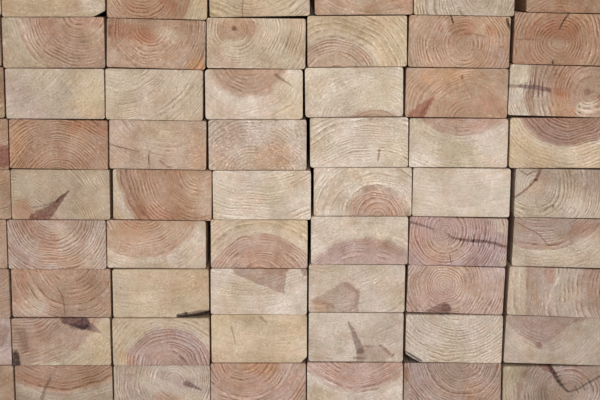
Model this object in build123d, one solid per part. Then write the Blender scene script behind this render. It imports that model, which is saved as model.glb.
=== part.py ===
from build123d import *
import math
import os
from typing import NamedTuple

# A stack of planed softwood boards, nine layers of seven, all lying the same way.
# The boards run along Y with their facing ends towards -Y, and the stack stands on Z = 0.
# Every size is in millimetres.

# The board
BOARD_WIDTH = 90.0
BOARD_THICKNESS = 45.0
BOARD_LENGTH = 2400.0
EASED_ARRIS = 2.0

# How boards lie against each other
BED_GAP = 0.3  # sawdust and raised grain between one layer and the next
TIGHTEST_GAP = 0.4  # the least room between two boards side by side
END_SPREAD = 1.5  # how far a board's ends stand off the stack's end, either way

# The log whose round surface is left on a waney corner
LOG_RADIUS = 130.0


class Layer(NamedTuple):
    """One layer of boards, described from left to right."""

    inset: float  # how far the first board stands in from the stack's left side
    gaps: tuple  # clear room between each board and the next, at mid height
    wider: tuple  # what each board's width has over BOARD_WIDTH
    thicker: tuple  # what each board's thickness has over BOARD_THICKNESS
    rise: tuple  # how much higher each board's right edge lies than its left edge


# The lowest layer comes first
LAYERS = (
    Layer(1.5, (1, 1.5, 0.5, 1, 1, 1.5), (0, 1.5, 0.5, -0.5, 0, 1.5, 3),
          (-1, -1.5, -1, 1, 2, 1, -2), (0, 0, 0, 0, 0, 0, 0)),
    Layer(0.5, (1, 2, 1.5, 1.5, 2, 2.5), (0, 2, 0.5, -0.5, -1.5, 0.5, 2),
          (0.5, 0.5, 0.5, 1.5, 2, 1, 1), (0, 0.5, 0, 0, -0.5, -1, -3)),
    Layer(1, (1.5, 2, 1.5, 1.5, 2, 3.5), (0, 2, -0.5, -0.5, -0.5, 0, 0),
          (1.5, 1, 1, -1.5, 0.5, 0, 1), (0, -0.5, 0, -0.5, -0.5, -3, -3.5)),
    Layer(0, (1, 0.5, 4.5, 3, 1, 5.5), (0, 0.5, 1.5, -0.5, -0.5, 0.5, 0),
          (1, 1, 0, 0.5, 0, 0, 1), (-0.5, -0.5, -1, -0.5, 0, -2, -2.5)),
    Layer(5, (0.5, 3, 1, 2.5, 0.5, 4), (0, 0.5, 0.5, 0, 0, -0.5, 0),
          (1, 1.5, 1.5, 0.5, 0, 0, 0), (-0.5, -0.5, -1.5, 0, 0, -1, -1.5)),
    Layer(5, (1, 1, 2, 3, 1, 1.5), (0, -0.5, -1.5, -0.5, -0.5, 0, 0),
          (1.5, 0, 0, 1, 0.5, 0, 1), (-1, -1.5, -1.5, 0, 0.5, -0.5, 0)),
    Layer(2.5, (1.5, 1, 2, 2, 2, 0.5), (0, -0.5, -2, -1.5, -1, 2.5, 0),
          (1, 0.5, 1, 0.5, 0, -0.5, 1), (-0.5, -0.5, -1.5, 0, 1, -1, -2.5)),
    Layer(1, (1.5, 2, 1, 1.5, 1.5, 3), (0, 2, -1, -1, -0.5, 1.5, 0),
          (0.5, 0.5, -1, 0, 0.5, 1.5, 1), (0, 0, -2.5, -1, 0.5, -1.5, -2)),
    Layer(2.5, (1, 2, 1.5, 4.5, 1, 11), (0, 2.5, -0.5, 0, -2, 0, 0),
          (0, 0, 0.5, -0.5, 0, 0.5, 0), (0, 0, -2, 1.5, 0.5, -1.5, -1.5)),
)


class Wane(NamedTuple):
    """A lower corner that the sawn section has outside the log, at the board's facing end."""

    side: int  # -1 for the left corner, 1 for the right one
    across: float  # how much of the underside is missing
    up: float  # how much of the side is missing
    run: float  # how far it reaches along the board before it dies out


# Waney boards, by layer and place in the layer, both counted from 1
WANES = {
    (9, 2): Wane(1, 10.0, 5.0, 900.0),
    (3, 3): Wane(1, 30.0, 5.0, 260.0),
    (2, 4): Wane(1, 5.0, 4.5, 420.0),
    (2, 6): Wane(-1, 14.0, 8.0, 1500.0),
}


class Board(NamedTuple):
    """A board's place in the stack: the centre of its section, its size and its slope."""

    x: float
    z: float
    width: float
    thickness: float
    slope: float


def section_rim(board):
    """Corners of a closed line just outside a board's section, with three flats on each arris."""
    tilt = math.atan(board.slope)
    reach = EASED_ARRIS / math.cos(math.radians(15))
    points = []
    for quarter in (0, 90, 180, 270):
        middle = math.radians(quarter + 45)
        arris_x = math.copysign(board.width / 2 - EASED_ARRIS, math.cos(middle))
        arris_z = math.copysign(board.thickness / 2 - EASED_ARRIS, math.sin(middle))
        for turn in (15, 45, 75):
            x = arris_x + reach * math.cos(math.radians(quarter + turn))
            z = arris_z + reach * math.sin(math.radians(quarter + turn))
            points.append((
                board.x + x * math.cos(tilt) - z * math.sin(tilt),
                board.z + x * math.sin(tilt) + z * math.cos(tilt),
            ))
    return points


def heights_at(rim, x):
    """Where a closed rim crosses the upright line at x."""
    heights = []
    for (x0, z0), (x1, z1) in zip(rim, rim[1:] + rim[:1]):
        if x0 != x1 and min(x0, x1) <= x <= max(x0, x1):
            heights.append(z0 + (z1 - z0) * (x - x0) / (x1 - x0))
    return heights


def lower_onto(board, layer_below):
    """Let a board down until it lies on the layer below it, or on the ground."""
    rim = section_rim(board)
    lift = -min(z for _, z in rim)
    for carrier in layer_below:
        carrier_rim = section_rim(carrier)
        for x, _ in rim + carrier_rim:
            own = heights_at(rim, x)
            under = heights_at(carrier_rim, x)
            if own and under:
                lift = max(lift, max(under) + BED_GAP - min(own))
    return board._replace(z=board.z + lift)


def lay_layer(layer, layer_below):
    """Place a layer's boards from left to right."""
    boards = []
    side = layer.inset
    for place, rise in enumerate(layer.rise):
        width = BOARD_WIDTH + layer.wider[place]
        thickness = BOARD_THICKNESS + layer.thicker[place]
        slope = rise / width
        if boards:
            lean = abs(slope - boards[-1].slope) * thickness / 2
            side += max(layer.gaps[place - 1], TIGHTEST_GAP + lean)
        board = Board(side + width / 2, 0.0, width, thickness, slope)
        boards.append(lower_onto(board, layer_below))
        side += width
    return boards


def waney_corner(board, wane):
    """The part of a board's lower corner that lies outside the round, tapering log."""
    corner = Vector(wane.side * board.width / 2, -board.thickness / 2)
    under = corner - Vector(wane.side * wane.across, 0)
    beside = corner + Vector(0, wane.up)
    chord = beside - under
    inward = Vector(-wane.side * wane.up, wane.across).normalized()
    centre = (under + beside) / 2 + inward * math.sqrt(LOG_RADIUS**2 - chord.length**2 / 4)
    growth = ((corner - centre).length - LOG_RADIUS) / wane.run
    log = Cone(
        LOG_RADIUS,
        LOG_RADIUS + growth * BOARD_LENGTH,
        BOARD_LENGTH,
        rotation=(-90, 0, 0),
    )
    block = Box(2 * wane.across, BOARD_LENGTH, 2 * wane.up)
    return Pos(corner.X, 0, corner.Y) * block - Pos(centre.X, 0, centre.Y) * log


def make_board(board, wane, endways):
    """One board, sawn to its section, planed with eased arrises and laid in its place."""
    section = Plane.XZ * RectangleRounded(board.width, board.thickness, EASED_ARRIS)
    solid = extrude(section, amount=BOARD_LENGTH / 2, both=True)
    if wane:
        solid -= waney_corner(board, wane)
    tilt = math.degrees(math.atan(board.slope))
    return Pos(board.x, endways, board.z) * Rot(0, -tilt, 0) * solid


def end_shift(layer_number, place):
    """How far a board is pushed in or out endways, in seven even steps over the spread."""
    step = (3 * layer_number + 5 * place) % 7
    return END_SPREAD * (step / 3 - 1)


def build_stack():
    """Lay every layer from the ground up, and return each layer's solids."""
    stack = []
    laid = []
    for layer_number, layer in enumerate(LAYERS, 1):
        laid = lay_layer(layer, laid)
        stack.append([
            make_board(board, WANES.get((layer_number, place)), end_shift(layer_number, place))
            for place, board in enumerate(laid, 1)
        ])
    return stack


stack = build_stack()
outline = Compound([board for layer in stack for board in layer]).bounding_box()
to_origin = Pos(-outline.center().X, -outline.center().Y, -outline.min.Z)

os.makedirs("parts", exist_ok=True)
for layer_number, layer in enumerate(stack, 1):
    export_step(to_origin * Compound(layer), f"parts/layer_{layer_number}.step")
print(f"{len(LAYERS)} layers, {outline.size.X:.1f} x {outline.size.Y:.1f} x {outline.size.Z:.1f} mm")
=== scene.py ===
import math
import random
from typing import NamedTuple

import bmesh
import bpy
import numpy as np
from bpy.props import FloatProperty, FloatVectorProperty, IntProperty, PointerProperty
from mathutils import Color, Euler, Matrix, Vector, geometry, noise


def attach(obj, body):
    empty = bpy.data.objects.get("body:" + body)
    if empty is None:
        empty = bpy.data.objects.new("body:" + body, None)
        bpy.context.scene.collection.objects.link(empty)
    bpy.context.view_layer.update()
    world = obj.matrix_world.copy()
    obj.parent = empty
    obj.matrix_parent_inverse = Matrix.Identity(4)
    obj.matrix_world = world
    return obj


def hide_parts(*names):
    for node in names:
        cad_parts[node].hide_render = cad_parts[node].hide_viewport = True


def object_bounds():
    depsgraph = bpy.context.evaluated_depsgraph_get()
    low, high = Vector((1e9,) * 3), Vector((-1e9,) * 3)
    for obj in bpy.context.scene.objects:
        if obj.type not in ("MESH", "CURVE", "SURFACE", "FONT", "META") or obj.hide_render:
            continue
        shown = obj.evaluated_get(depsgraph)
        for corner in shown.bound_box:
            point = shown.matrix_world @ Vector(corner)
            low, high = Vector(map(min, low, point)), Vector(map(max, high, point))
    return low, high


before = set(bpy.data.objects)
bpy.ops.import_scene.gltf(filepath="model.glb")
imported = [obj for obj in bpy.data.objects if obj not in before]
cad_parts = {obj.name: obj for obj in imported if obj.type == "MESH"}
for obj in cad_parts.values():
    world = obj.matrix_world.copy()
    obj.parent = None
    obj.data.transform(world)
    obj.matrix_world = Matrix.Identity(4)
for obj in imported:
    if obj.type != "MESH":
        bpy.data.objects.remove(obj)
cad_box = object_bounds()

bl_info = {
    "name": "Softwood stack",
    "version": (1, 0, 0),
    "blender": (4, 5, 0),
    "location": "3D View > Sidebar > Stack",
    "description": "Dresses a stack of planed softwood boards with grain, rings, stains and checks",
    "category": "Object",
}

# Lengths in the notes on the boards are millimetres, and the frame is in metres.
MM = 0.001
LAYERS = 9
PLACES = 7
BODY = "root"


class Mark(NamedTuple):
    """A stain, streak, pocket or dot on a board's facing end, or painted shade along a crack: a line
    that may taper.
    """

    start: tuple  # from the middle of the end, to the right and up
    end: tuple
    start_reach: float  # how far the mark spreads to each side of its start
    end_reach: float
    colour: str
    strength: float = 0.9
    softness: float = 1.2


class Crack(NamedTuple):
    """A check that is open at the surface, cut into the end as a narrow groove."""

    start: tuple
    end: tuple
    width: float = 0.7
    depth: float = 4.0


class Wane(NamedTuple):
    """A lower corner that lay outside the log, at the board's facing end."""

    side: int  # -1 for the left corner, 1 for the right one
    across: float  # how much of the underside is missing
    up: float  # how much of the side is missing
    run: float  # how far it reaches along the board before it dies out
    torn: float = 0.0  # how unevenly it is broken away


class Grain(NamedTuple):
    """What is particular to one board's wood."""

    pith: tuple = (0.0, -60.0)  # the tree's middle, from the middle of the facing end
    heart: float = 0.0  # radius of the heartwood
    sapwood: str = "cream"
    heartwood: str = "tan"
    ring: float = 3.1  # from one ring to the next
    contrast: float = 0.4  # how much the late wood stands out
    tone: float = 1.0  # how bright the end is beside its like
    fuzz: float = 1.0  # how much the saw has torn the end's fibres
    ragged: float = 0.45  # how far the end's edges are broken back
    arris: float = 1.8  # how far the long edges are rounded
    marks: tuple = ()
    cracks: tuple = ()


ALL_HEART = 400.0
LOG_RADIUS = 130.0

WANES = {
    (9, 2): Wane(1, 10.0, 5.0, 900.0),
    (3, 3): Wane(1, 30.0, 5.0, 260.0, torn=1.6),
    (2, 4): Wane(1, 5.0, 4.5, 420.0, torn=0.4),
    (2, 6): Wane(-1, 14.0, 8.0, 1500.0),
}

# The boards by layer from the ground and place from the left, both counted from 1
GRAINS = {
    (9, 1): Grain((-20, 90), 0, "straw", contrast=0.3),
    (9, 2): Grain((-10, 120), 0, "khaki", ring=3.4, contrast=0.25, tone=1.04, marks=(
        Mark((34, 6), (38, -10), 7, 9, "pale", 0.7, 6),
        Mark((4, -6), (20, -12), 8, 7, "honey", 0.14, 6),
        Mark((-42, -8), (-40, -18), 4, 5, "rust", 0.2, 6),
    )),
    (9, 3): Grain((-13, 3), 45, "straw", heartwood="russet", ring=2.8, contrast=0.75, tone=0.9, marks=(
        Mark((-14, 3), (-12, 3), 1.0, 0.8, "wine", 0.6, 1),
        Mark((6, -3), (12, -10), 6, 4, "rust", 0.6, 4),
        Mark((-38, 4), (-34, -14), 5, 4, "tan", 0.5, 5),
    )),
    (9, 4): Grain((-8, 44), 0, "straw", ring=4.1, contrast=0.8, tone=0.88, marks=(
        Mark((-15, -22), (-14, 4), 0.4, 0.3, "umber", 0.7, 0.5),
        Mark((34, -4), (40, -12), 6, 8, "grey", 0.5, 5),
    )),
    (9, 5): Grain((10, 70), ALL_HEART, "buff", heartwood="honey_tan", ring=2.9, contrast=0.25,
                  tone=0.9, fuzz=1.3, marks=(
        Mark((-30, -4), (-10, -16), 8, 7, "pale", 0.35, 7),
        Mark((32, -6), (42, -14), 9, 7, "rust", 0.4, 6),
        Mark((-42, -8), (-42, -16), 2.5, 3.5, "rust", 0.3, 4),
    )),
    (9, 6): Grain((13, -7), 0, "grey", ring=3.2, contrast=0.9, tone=0.93, fuzz=1.3, marks=(
        Mark((-43, -4), (-42, -20), 4, 4, "straw", 0.6, 4),
    )),
    (9, 7): Grain((-15, -47), ALL_HEART, "buff", heartwood="russet", ring=3.4, contrast=0.6,
                  tone=0.88, marks=(
        Mark((-40, -10), (-28, -16), 7, 6, "buff", 0.4, 6),
    )),
    (8, 1): Grain((30, 60), ALL_HEART, "buff", heartwood="tan", ring=2.9, contrast=0.3),
    (8, 2): Grain((25, 29), 60, "khaki", heartwood="rose", ring=3.0, contrast=0.65, tone=0.93, marks=(
        Mark((-9, 18), (-3, 10), 7, 4, "rust", 0.4, 7),
        Mark((-33, 22), (-8, -23), 1.4, 1.2, "pale", 0.35, 2.5),
        Mark((38, 8), (38, -2), 4, 3, "pale", 0.4, 4),
    )),
    (8, 3): Grain((-6, 15), ALL_HEART, "buff", heartwood="tan", ring=3.2, contrast=0.65, tone=0.96,
                  fuzz=1.1, marks=(
        Mark((-36, 12), (-8, 7), 6, 5, "rust", 0.6, 5),
        Mark((-14, 5), (-5, 2), 4, 3.5, "rust", 0.2, 4),
        Mark((10, 9), (15, 9), 5, 4, "pale", 0.5, 5),
        Mark((36, -19), (43, -22), 7, 4, "honey", 0.6, 4),
    )),
    (8, 4): Grain((-18, 14), 0, "cream", ring=2.9, contrast=0.8, tone=0.96, marks=(
        Mark((-24, 12), (-10, 15), 8, 8, "rust", 0.5, 4),
        Mark((-36, -8), (-26, -18), 5, 6, "rust", 0.3, 8),
        Mark((-18, 14), (-18, 13.6), 2.1, 2.1, "umber", 0.7, 0.7),
        Mark((-18, 14), (-18, 13.6), 1.0, 1.0, "tan", 0.8, 0.7),
        Mark((6, 10), (16, -4), 5, 7, "pale", 0.45, 7),
        Mark((34, 12), (38, -8), 7, 7, "honey", 0.12, 6),
    )),
    (8, 5): Grain((-20, -39), 41, "straw", heartwood="buff", ring=3.7, contrast=1.0, tone=0.98),
    (8, 6): Grain((4, -3), ALL_HEART, "buff", heartwood="tan", ring=2.9, contrast=0.65, tone=1.03,
                  arris=2.2, marks=(
        Mark((-2, 11), (8, 12), 5, 5, "rust", 0.4, 5),
        Mark((28, 11), (30, 9), 4, 4, "rust", 0.45, 3.5),
        # The first three are painted shade inside the two cracks
        Mark((-8, 22.5), (-5, 16.5), 0.9, 0.5, "bark_and_crack_shade", 0.9, 0.7),
        Mark((44, 21.5), (44.5, 17), 1.1, 0.8, "bark_and_crack_shade", 0.8, 0.8),
        Mark((44.5, 17), (46.5, 11), 0.8, 0.7, "bark_and_crack_shade", 0.8, 0.8),
        Mark((-15, 16.5), (-9, 7), 2, 1.6, "pale", 0.4, 2.5),
        Mark((-30, 2), (-26, -20), 2, 2, "pale", 0.3, 3),
        Mark((-18, 10), (-17, 9), 6, 5, "lilac", 0.4, 5),
        Mark((37, -12), (38, -12), 7, 6, "lilac", 0.35, 5),
        Mark((6, 7), (24, 4), 0.8, 0.4, "wine", 0.5, 1),
    ), cracks=(
        Crack((-8, 21), (-5, 14), 0.5, 2.5),
        Crack((43.5, 20), (44.5, 12), 0.7, 3),
    )),
    (8, 7): Grain((-5, -3), ALL_HEART, "buff", heartwood="russet", ring=3.0, contrast=0.75, tone=0.87,
                  marks=(
        Mark((-8, 10), (6, 9), 8, 8, "rust", 0.55, 6),
        Mark((-32, 4), (-24, 8), 5, 6, "rust", 0.35, 5),
        Mark((-8, -3), (2, -4), 4, 3, "pale", 0.3, 6),
        Mark((-45, -1), (-22, -1), 0.3, 0.2, "wine", 0.6, 0.5),
        # Painted shade inside the crack
        Mark((2, 23), (-5, 10.5), 0.8, 0.3, "bark_and_crack_shade", 0.8, 0.6),
        Mark((-9, -22), (-9, -20), 1.0, 0.6, "bark_and_crack_shade", 0.9, 0.5),
    ), cracks=(
        Crack((1, 20), (-4, 10), 0.5, 2.5),
    )),
    (7, 1): Grain((-30, 50), ALL_HEART, "buff", heartwood="russet", ring=2.9, contrast=0.4, tone=0.8,
                  marks=(
        Mark((36, -14), (45, -19), 4, 5, "straw", 0.7, 4),
    )),
    (7, 2): Grain((-60, 75), 0, "grey", ring=3.3, contrast=0.25, marks=(
        Mark((-36, 2), (-22, -18), 9, 10, "lilac", 0.45, 8),
        Mark((28, 10), (34, -14), 12, 11, "straw", 0.75, 9),
        Mark((-10, 16), (10, 18), 9, 8, "cream", 0.5, 8),
    )),
    (7, 3): Grain((-35, 50), 0, "cream", ring=3.2, contrast=0.6, tone=0.94),
    (7, 4): Grain((-6, 33), 36, "pale", heartwood="tan", ring=3.9, contrast=0.5, tone=1.02, fuzz=0.7,
                  ragged=0.3, arris=3.0, marks=(
        Mark((20, 17.5), (34, 8), 1.3, 0.4, "umber", 0.6, 0.7),
        Mark((28, 8), (40, -14), 9, 10, "straw", 0.6, 8),
    )),
    (7, 5): Grain((17, -44), 29, "pale", heartwood="tan", ring=3.2, contrast=0.45, tone=0.97,
                  fuzz=1.3, ragged=0.6, arris=2.6),
    (7, 6): Grain((12, -26), ALL_HEART, "buff", heartwood="tan", ring=3.4, contrast=0.35, tone=1.05,
                  marks=(
        Mark((-37, -24), (-20, -5), 8.0, 1.2, "redwood", 0.72, 0.9),
        Mark((-33, -25), (-24, -10), 2.5, 0.5, "wine", 0.5, 1.5),
        Mark((-20, -5), (-13, 2), 1.4, 1.2, "blush", 0.6, 1),
        Mark((-24, 16), (0, 16), 8, 7, "honey", 0.35, 6),
        Mark((4, 14), (4, 13), 1.3, 1, "umber", 0.8, 0.8),
        Mark((4, 13), (14, -4), 0.4, 0.3, "umber", 0.3, 0.8),
        Mark((30, -8), (40, -14), 7, 7, "rust", 0.2, 6),
    )),
    (7, 7): Grain((30, 0), 60, "pale", heartwood="tan", ring=3.4, contrast=0.75, tone=0.85, marks=(
        Mark((-46, 3), (-35, 3), 1.6, 0.9, "umber", 0.7, 1),
        Mark((-35, 3.5), (-9, 0.5), 1.3, 1.8, "plum", 0.8, 1.0),
        Mark((-9, 0.5), (12, -1.5), 2.6, 1, "rust", 0.35, 2.5),
        Mark((-32, 7), (-31, -2), 0.4, 0.3, "plum", 0.7, 0.6),
        Mark((-28, 8), (-27, -4), 0.5, 0.3, "plum", 0.8, 0.6),
        Mark((-24, 9), (-23, -6), 0.5, 0.4, "plum", 0.85, 0.6),
        Mark((-20, 9), (-19, -6), 0.5, 0.4, "plum", 0.85, 0.6),
        Mark((-16, 8), (-15, -6), 0.5, 0.4, "plum", 0.8, 0.6),
        Mark((2, 22), (4, 6), 10, 8, "rust", 0.3, 5),
        Mark((2, -6), (4, -22), 8, 10, "honey", 0.35, 5),
        Mark((-16, -10), (-10, -22), 7, 8, "pale", 0.45, 5),
        Mark((24, -16), (30, -14), 7, 5.5, "pale", 0.85, 2.5),
        # Painted shade of two small cracks
        Mark((20.5, -12.5), (20.5, -13), 0.8, 0.7, "crack", 0.8, 0.7),
        Mark((20, -18.5), (20.5, -18.5), 0.7, 0.7, "crack", 0.8, 0.7),
        Mark((26.5, 0.5), (27, 0), 2.4, 2.0, "umber", 0.6, 1.5),
        Mark((37, -3), (42, -12), 1.4, 1.0, "wine", 0.5, 1.5),
    )),
    (6, 1): Grain((30, 40), ALL_HEART, "buff", heartwood="russet", ring=2.9, contrast=0.6, tone=0.85,
                  fuzz=1.5, marks=(
        Mark((41, -5), (41, -17), 4.5, 4, "wine", 0.85, 2),
    )),
    (6, 2): Grain((0, -37), ALL_HEART, "buff", heartwood="russet", ring=2.5, contrast=0.8, tone=0.89,
                  fuzz=1.1, marks=(
        Mark((18, 19), (40, 20), 7, 9, "rust", 0.45, 6),
        Mark((-38, 10), (-42, -10), 6, 6, "honey", 0.4, 6),
        Mark((-2, -8), (8, -10), 10, 9, "pale", 0.15, 8),
    )),
    (6, 3): Grain((10, 45), 0, "buff", ring=2.9, contrast=0.5, marks=(
        # The first two are painted shade along the two cracks
        Mark((-43, -1), (-18, -6), 0.5, 0.3, "umber", 0.6, 1),
        Mark((-8, -6), (-9, -21), 0.4, 0.5, "umber", 0.6, 1),
        Mark((1, -14), (12, -21), 0.4, 0.4, "umber", 0.6, 1),
        Mark((-6, 14), (10, 10), 8, 8, "cream", 0.5, 7),
        Mark((34, 8), (38, -14), 6, 8, "honey", 0.3, 7),
    ), cracks=(
        Crack((-42, -1), (-20, -5.5), 0.5, 1.5),
        Crack((-8, -8), (-9, -20), 0.5, 1.5),
    )),
    (6, 4): Grain((-3, -37), 0, "blush", ring=3.2, contrast=0.55, tone=0.96, fuzz=2.1, ragged=0.6,
                  marks=(
        Mark((8, -12), (24, -8), 10, 8, "honey", 0.35, 8),
        Mark((-28, 12), (-20, 14), 9, 7, "umber", 0.28, 7),
        Mark((-34, -12), (-24, -18), 7, 6, "rust", 0.2, 6),
        Mark((30, 12), (36, 10), 8, 8, "pale", 0.6, 6),
    )),
    (6, 5): Grain((11, -81), 0, "pale", ring=2.8, contrast=0.85, fuzz=1.3, ragged=0.6, marks=(
        Mark((19, -7), (17, -16), 0.9, 0.7, "umber", 0.7, 0.8),
    )),
    (6, 6): Grain((5, 66), 58, "pale", heartwood="rose", ring=3.0, contrast=0.5, tone=0.99),
    (6, 7): Grain((8, 48), 51, "straw", heartwood="mauve_dark", ring=2.7, contrast=1.0, tone=1.02,
                  marks=(
        Mark((-2, -16), (24, -17), 7, 8, "pale", 0.45, 6),
    )),
    (5, 1): Grain((20, 40), ALL_HEART, "buff", heartwood="honey_tan", ring=2.9, contrast=0.3, tone=0.9),
    (5, 2): Grain((-50, -50), 0, "khaki", ring=2.1, contrast=0.65, tone=0.98, marks=(
        Mark((-22, -25), (9, 4), 7.0, 0.3, "umber", 1.0, 0.8),
        Mark((-4, -6), (9.5, 4.4), 1.0, 0.4, "plum", 0.6, 0.8),
        Mark((-25, -12.5), (-5, -5.6), 0.5, 0.8, "plum", 0.6, 0.9),
        Mark((-18, -23), (-8, -22), 3, 4, "redwood", 0.4, 1.5),
        Mark((-36, -14), (-30, -20), 8, 7, "rust", 0.5, 5),
        Mark((30, 4), (38, -10), 10, 9, "cream", 0.5, 8),
    )),
    (5, 3): Grain((35, 25), 76, "straw", heartwood="russet", ring=3.3, contrast=0.65, tone=1.0, marks=(
        Mark((-34, 20), (-22, -18), 6, 7, "umber", 0.4, 5),
        Mark((-14, -18), (10, -22), 8, 7, "rust", 0.5, 6),
        Mark((30, 12), (40, -4), 10, 10, "pale", 0.4, 9),
        Mark((-42, -4), (-36, -18), 3, 7, "pale", 0.6, 2),
    )),
    (5, 4): Grain((-5, 95), 0, "pale", ring=2.9, contrast=0.6, tone=1.06, fuzz=0.9),
    (5, 5): Grain((13.5, -24.5), 28, "pale", heartwood="rose", ring=4.0, contrast=1.0, tone=1.04,
                  fuzz=1.2),
    (5, 6): Grain((0, 140), 0, "pale", ring=2.9, contrast=0.2, tone=0.99, fuzz=0.7, marks=(
        Mark((-4, -22), (-2, -22.5), 0.9, 0.7, "bark_and_crack_shade", 0.9, 0.6),
    )),
    (5, 7): Grain((-28, 8), 0, "grey", ring=2.9, contrast=0.85, tone=0.97, fuzz=1.2, marks=(
        Mark((-22, 23), (-26, 12), 1.1, 1.3, "umber", 0.9, 0.8),
        Mark((-26, 12), (-30.5, 8), 1.5, 0.8, "umber", 0.9, 0.8),
        Mark((-30.5, 8), (-45, -4), 0.8, 0.8, "umber", 0.85, 0.8),
        Mark((-43, 21.6), (-35, 17), 0.4, 0.4, "umber", 0.7, 0.6),
        Mark((-35, 17), (-24, 21), 0.4, 0.4, "umber", 0.7, 0.6),
        Mark((-16, 16), (40, 12), 6, 9, "umber", 0.35, 7),
        Mark((-30, 2), (-20, 10), 5, 5, "honey", 0.25, 6),
        Mark((10, -12), (34, -16), 8, 8, "pale", 0.35, 7),
        Mark((-9, -11), (-9, -12), 1.1, 0.9, "umber", 0.8, 0.8),
    )),
    (4, 1): Grain((40, 30), ALL_HEART, "buff", heartwood="tan", ring=2.9, contrast=0.3),
    (4, 2): Grain((-3, 28), ALL_HEART, "pink", heartwood="mauve_tan", ring=2.7, contrast=0.8,
                  tone=1.03, fuzz=1.1, marks=(
        Mark((-26, 20), (-4, 2), 7, 5, "rust", 0.3, 5),
        Mark((-10, -8), (20, -20), 6, 6, "honey", 0.25, 6),
        Mark((-4, 18), (14, 4), 4, 4, "pale", 0.45, 4),
        Mark((38, 10), (36, -14), 6, 6, "pale", 0.45, 6),
        Mark((-38, -2), (-26, -16), 6, 6, "lilac", 0.4, 5),
    )),
    (4, 3): Grain((-14, 38), 52, "cream", heartwood="honey_tan", ring=2.9, contrast=0.6, tone=1.04,
                  marks=(
        Mark((-24, 12), (-10, 16), 9, 8, "rust", 0.2, 6),
        Mark((34, 10), (38, -12), 7, 9, "pale", 0.4, 7),
    )),
    (4, 4): Grain((3, -42), 52, "straw", heartwood="rose", ring=3.5, contrast=0.7, tone=1.05,
                  fuzz=1.0, ragged=0.6, marks=(
        Mark((0, -14), (20, -20), 12, 9, "rust", 0.16, 7),
        Mark((-38, 16), (-30, 14), 8, 8, "pale", 0.4, 6),
    )),
    (4, 5): Grain((6, -72), 74, "pale", heartwood="mauve", ring=2.8, contrast=0.45, tone=1.09, marks=(
        Mark((10, -18), (30, -20), 9, 7, "mauve_dark", 0.1, 6),
    )),
    (4, 6): Grain((-12, 9.5), ALL_HEART, "pink", heartwood="lilac", ring=2.5, contrast=1.0, tone=0.95,
                  fuzz=1.1, marks=(
        Mark((-44, 16), (-24, 11), 1.2, 0.4, "plum", 0.75, 1),
        Mark((-9, 8), (2, 3), 0.5, 1.0, "plum", 0.8, 0.8),
        Mark((2, 3), (14, 1), 1.0, 1.3, "plum", 0.85, 0.8),
        Mark((14, 1), (44, -2.5), 1.5, 1.1, "plum", 0.9, 0.9),
        Mark((5, 6), (4, -1), 0.4, 0.3, "plum", 0.7, 0.6),
        Mark((10, 6), (9, -2), 0.4, 0.4, "plum", 0.75, 0.6),
        Mark((15, 7), (14, -4), 0.5, 0.4, "plum", 0.8, 0.6),
        Mark((20, 7), (19, -5), 0.5, 0.4, "plum", 0.8, 0.6),
        Mark((25, 6), (24, -6), 0.5, 0.4, "plum", 0.8, 0.6),
        Mark((30, 5), (29, -6), 0.5, 0.4, "plum", 0.75, 0.6),
        Mark((35, 4), (34, -7), 0.4, 0.4, "plum", 0.7, 0.6),
        Mark((-40, 2), (-22, -18), 8, 7, "honey", 0.25, 7),
        Mark((-20, -6), (0, -8), 7, 7, "pale", 0.25, 7),
        Mark((20, -16), (38, -18), 7, 5, "umber", 0.2, 6),
        Mark((38, 17), (45, 15), 6, 5, "cream", 0.75, 3),
        Mark((42, -19), (45, -16), 3, 4, "cream", 0.75, 3),
    ), cracks=(
        Crack((-18, 21.7), (-17.5, 18), 0.6, 2.5),
        Crack((-8, -9.5), (-5, -21.7), 0.6, 2.5),
    )),
    (4, 7): Grain((-20, 60), 68, "cream", heartwood="mauve_tan", ring=3.0, contrast=0.6, tone=0.92,
                  marks=(
        Mark((-41, 17.5), (-19, 6.5), 0.4, 0.4, "umber", 0.75, 0.6),
        Mark((-19, 6.5), (-11, -3), 0.4, 0.4, "umber", 0.75, 0.6),
        Mark((-11, -3), (-2, -2), 0.4, 0.3, "umber", 0.75, 0.6),
        Mark((16, 14), (34, 12), 7, 8, "rust", 0.35, 5),
    )),
    (3, 1): Grain((10, 60), ALL_HEART, "buff", heartwood="tan", ring=2.9, contrast=0.3, tone=0.84),
    (3, 2): Grain((9, 27), ALL_HEART, "buff", heartwood="tan", ring=3.2, contrast=0.65, tone=0.99,
                  marks=(
        Mark((-3, 5.5), (0.5, -3.3), 0.4, 0.4, "umber", 0.75, 0.7),
        Mark((0.5, -3.3), (2.4, -12), 0.4, 0.4, "umber", 0.75, 0.7),
        Mark((2.4, -12), (4, -21), 0.4, 0.4, "umber", 0.7, 0.7),
        Mark((-30, -12), (-22, -14), 8, 6, "pale", 0.45, 7),
        Mark((24, 8), (38, -6), 8, 8, "umber", 0.16, 6),
        Mark((-36, 16), (-40, -6), 6, 5, "rust", 0.35, 6),
    )),
    (3, 3): Grain((-20, 120), 0, "straw", ring=3.2, contrast=0.2, tone=1.03, fuzz=0.9, ragged=0.7,
                  marks=(
        Mark((-40, 10), (-36, -16), 6, 5, "grey", 0.4, 7),
        Mark((10, 14), (40, 8), 8, 9, "honey", 0.16, 8),
        Mark((13, -21), (22, -18.5), 0.8, 1.6, "bark_and_crack_shade", 0.8, 0.7),
        Mark((22, -19), (44, -18.5), 1.3, 1.6, "bark_and_crack_shade", 0.7, 0.8),
    )),
    (3, 4): Grain((-10, 110), 0, "pale", ring=3.2, contrast=0.35, tone=1.08, marks=(
        Mark((5, 33), (25, -1), 31, 0.3, "mauve_dark", 0.75, 1.0),
        Mark((10, 26), (22, 22), 8, 7, "rust", 0.4, 5),
        Mark((26, 10), (30, 12), 6, 6, "grey", 0.35, 3),
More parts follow.
